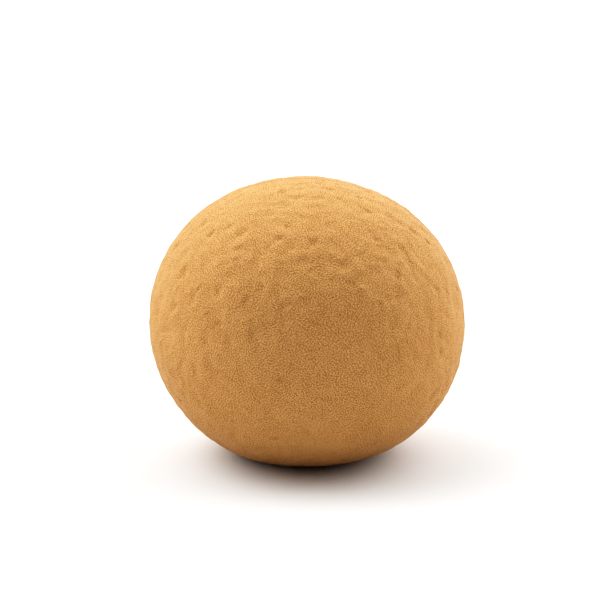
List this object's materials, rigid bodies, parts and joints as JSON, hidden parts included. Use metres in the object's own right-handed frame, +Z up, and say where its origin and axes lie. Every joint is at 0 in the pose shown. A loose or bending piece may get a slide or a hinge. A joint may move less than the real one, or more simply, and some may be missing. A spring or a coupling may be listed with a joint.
{
  "type": "massage ball",
  "caption": "Slightly flattened cork-skinned ball for rolling massage, with a foam cushion and a firm rubber core glued inside, resting on a small flat base.",
  "frame": {"origin": "centre of the flat base, on the surface that the ball stands on", "axes": "+Z up along the ball's short axis, the seam between the half shells in the XZ plane, -Y towards the front half"},
  "size_m": [0.075, 0.0752, 0.0658],
  "materials": {
    "cork": "matte",
    "adhesive": "matte",
    "foam": "matte",
    "core_rubber": "satin"
  },
  "bodies": {
    "root": {"cork_shell_front": "cork", "cork_shell_back": "cork", "seam_glue": "adhesive", "bond_film_front": "adhesive", "bond_film_back": "adhesive", "cushion_front": "foam", "cushion_back": "foam", "cushion_glue": "adhesive", "core_ball": "core_rubber"}
  },
  "joints": []
}
